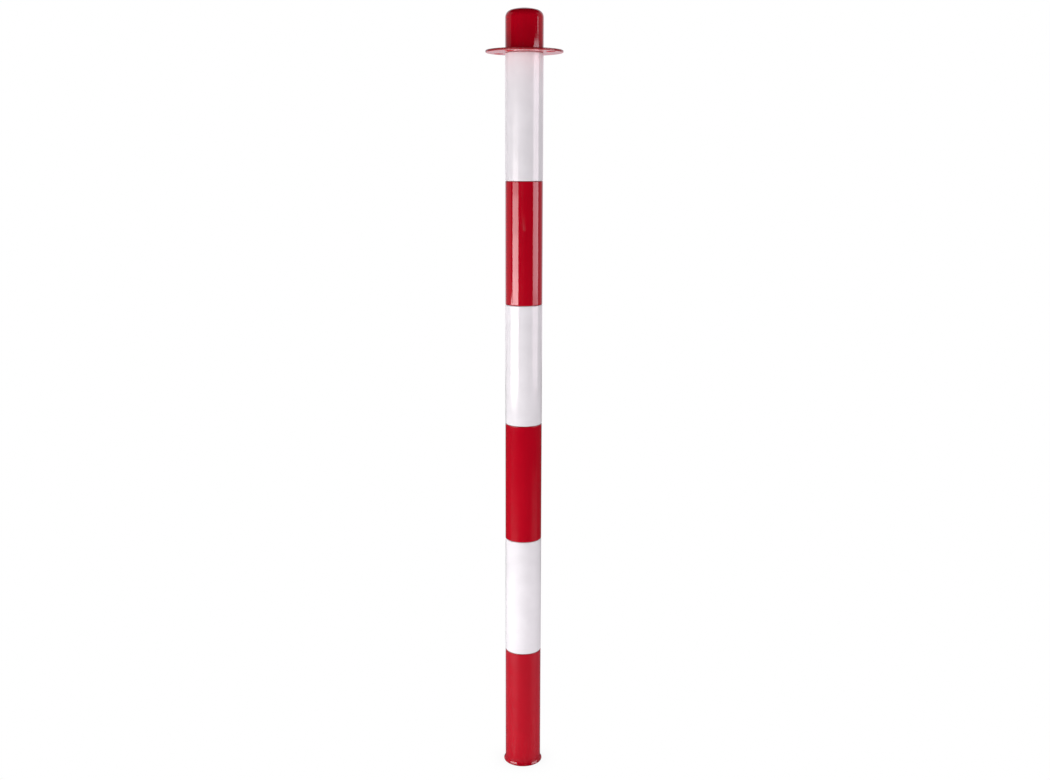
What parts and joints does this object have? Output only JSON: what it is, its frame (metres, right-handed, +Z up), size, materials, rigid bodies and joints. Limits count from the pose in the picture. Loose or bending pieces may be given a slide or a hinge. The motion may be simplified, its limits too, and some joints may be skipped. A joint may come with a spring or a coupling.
{
  "type": "plastic chain stanchion",
  "caption": "Slim red and white plastic chain post of push-together tube sections on hidden couplers, with a hat-shaped cap whose brim has chain eyes and a flared lip at the foot.",
  "frame": {"origin": "centre of the foot's ring, on the surface that the post stands on", "axes": "+Z up along the post's axis; -Y is the front"},
  "size_m": [0.0816, 0.0816, 0.839],
  "materials": {
    "red_cap": "glossy moulded polypropylene, signal red",
    "red_tube": "glossy extruded plastic, signal red",
    "white_tube": "glossy extruded plastic, white",
    "coupler": "satin moulded plastic, dark grey"
  },
  "bodies": {
    "foot": {"foot_tube": "red_tube", "foot_coupler": "coupler"},
    "lower_white": {"lower_white_tube": "white_tube", "lower_coupler": "coupler"},
    "middle_red": {"middle_red_tube": "red_tube", "middle_coupler": "coupler"},
    "middle_white": {"middle_white_tube": "white_tube", "upper_coupler": "coupler"},
    "upper_red": {"upper_red_tube": "red_tube", "top_coupler": "coupler"},
    "top_white": {"top_white_tube": "white_tube", "cap_coupler": "coupler"},
    "cap": {"cap": "red_cap"}
  },
  "joints": [
    {"name": "lower_white_lift", "type": "slide", "parent": "foot", "child": "lower_white", "axis": [0, 0, 1], "range_m": [0, 0.03]},
    {"name": "middle_red_lift", "type": "slide", "parent": "lower_white", "child": "middle_red", "axis": [0, 0, 1], "range_m": [0, 0.03]},
    {"name": "middle_white_lift", "type": "slide", "parent": "middle_red", "child": "middle_white", "axis": [0, 0, 1], "range_m": [0, 0.03]},
    {"name": "upper_red_lift", "type": "slide", "parent": "middle_white", "child": "upper_red", "axis": [0, 0, 1], "range_m": [0, 0.03]},
    {"name": "top_white_lift", "type": "slide", "parent": "upper_red", "child": "top_white", "axis": [0, 0, 1], "range_m": [0, 0.03]},
    {"name": "cap_lift", "type": "slide", "parent": "top_white", "child": "cap", "axis": [0, 0, 1], "range_m": [0, 0.03]}
  ]
}
